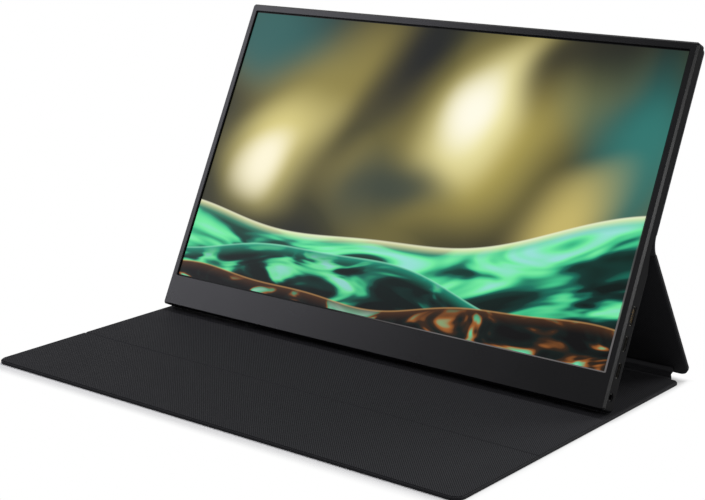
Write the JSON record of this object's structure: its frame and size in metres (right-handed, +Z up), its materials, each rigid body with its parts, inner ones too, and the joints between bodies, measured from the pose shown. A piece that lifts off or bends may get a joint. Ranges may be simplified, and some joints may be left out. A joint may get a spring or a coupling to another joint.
{
  "type": "portable monitor",
  "caption": "Slim portable monitor with a wide chin, held up by a folding folio cover whose boards and cloth hinges form a rear leg, a spine and a flap on the table.",
  "frame": {"origin": "on the table, in the middle of the flap's underside", "axes": "+X to the monitor's right as seen by its user, +Y away from the user, +Z up"},
  "size_m": [0.36, 0.2463, 0.2054],
  "materials": {
    "bezel_plastic": "fine moulded texture, satin black",
    "housing_plastic": "fine moulded texture, dark grey",
    "display_glass": "anti-glare display surface, lit picture",
    "optical_film": "frosted film",
    "clear_acrylic": "clear moulded acrylic with printed dots",
    "white_film": "white reflective film",
    "lamp_strip": "white strip with yellow lamps",
    "tray_metal": "pressed sheet",
    "black_film": "black insulating film",
    "circuit_board": "green solder mask",
    "flex_film": "amber polyimide",
    "chip_resin": "black epoxy",
    "sheet_steel": "plated sheet steel",
    "socket_steel": "drawn plated steel shell",
    "jack_plastic": "moulded black nylon",
    "speaker_plastic": "moulded case with paper cone",
    "screw_steel": "black oxide steel",
    "magnet_carrier": "plastic carrier with magnets",
    "cover_skin": "fine woven grain, black",
    "cover_board": "stiff fibre board",
    "cover_lining": "fine ribbed lining, black",
    "magnet_metal": "nickel plated magnet",
    "key_plastic": "satin moulded key"
  },
  "bodies": {
    "base": {"flap_rear_skin": "cover_skin", "flap_rear_board": "cover_board", "flap_rear_lining": "cover_lining", "crease_strip": "cover_lining", "spine_hinge_strip": "cover_skin"},
    "flap_front": {"flap_front_skin": "cover_skin", "flap_front_board": "cover_board", "flap_front_lining": "cover_lining", "closing_magnets": "magnet_metal"},
    "spine": {"spine_skin": "cover_skin", "spine_board": "cover_board", "spine_lining": "cover_lining", "lower_hinge_strip": "cover_skin"},
    "stand": {"stand_skin": "cover_skin", "stand_board": "cover_board", "stand_lining": "cover_lining", "upper_hinge_strip": "cover_skin"},
    "monitor": {"front_bezel": "bezel_plastic", "rear_cover": "housing_plastic", "lcd_cell": "display_glass", "optical_films": "optical_film", "light_guide": "clear_acrylic", "reflector_sheet": "white_film", "led_bar": "lamp_strip", "panel_tray": "tray_metal", "insulating_sheet": "black_film", "panel_driver_board": "circuit_board", "driver_flexes": "flex_film", "panel_cable": "flex_film", "main_board": "circuit_board", "board_chips": "chip_resin", "shield_can": "sheet_steel", "mini_hdmi_port": "socket_steel", "upper_usb_c_port": "socket_steel", "lower_usb_c_port": "socket_steel", "audio_jack": "jack_plastic", "button_board": "circuit_board", "key_switches": "chip_resin", "left_speaker": "speaker_plastic", "right_speaker": "speaker_plastic", "keeper_plates": "sheet_steel", "cover_screws": "screw_steel", "magnet_plate": "magnet_carrier", "back_panel_skin": "cover_skin", "back_panel_board": "cover_board", "back_panel_lining": "cover_lining"},
    "power_key": {"power_button": "key_plastic"},
    "menu_up_key": {"menu_up_button": "key_plastic"},
    "menu_down_key": {"menu_down_button": "key_plastic"}
  },
  "joints": [
    {"name": "flap_fold", "type": "hinge", "parent": "base", "child": "flap_front", "pos_m": [0, -0.0411, 0.00225], "axis": [-1, 0, 0], "range_deg": [0, 85], "deforming": ["crease_strip"]},
    {"name": "spine_fold", "type": "hinge", "parent": "base", "child": "spine", "pos_m": [0, 0.113, 0.0003], "axis": [-1, 0, 0], "range_deg": [0, 90], "deforming": ["spine_hinge_strip"]},
    {"name": "stand_lean", "type": "hinge", "parent": "spine", "child": "stand", "pos_m": [0, 0.1271, 0.0043], "axis": [1, 0, 0], "range_deg": [-12, 24], "deforming": ["lower_hinge_strip"]},
    {"name": "monitor_tilt", "type": "hinge", "parent": "stand", "child": "monitor", "pos_m": [0, 0.07808, 0.09224], "axis": [1, 0, 0], "range_deg": [-51.12, 25.56], "deforming": ["upper_hinge_strip"]},
    {"name": "power_press", "type": "slide", "parent": "monitor", "child": "power_key", "axis": [1, 0, 0], "range_m": [0, 0.0004], "stiffness_N_per_m": 1500},
    {"name": "menu_up_press", "type": "slide", "parent": "monitor", "child": "menu_up_key", "axis": [1, 0, 0], "range_m": [0, 0.0004], "stiffness_N_per_m": 1500},
    {"name": "menu_down_press", "type": "slide", "parent": "monitor", "child": "menu_down_key", "axis": [1, 0, 0], "range_m": [0, 0.0004], "stiffness_N_per_m": 1500}
  ],
  "couplings": [
    {"joint": "monitor_tilt", "follows": "stand_lean", "ratio": -2.13}
  ]
}
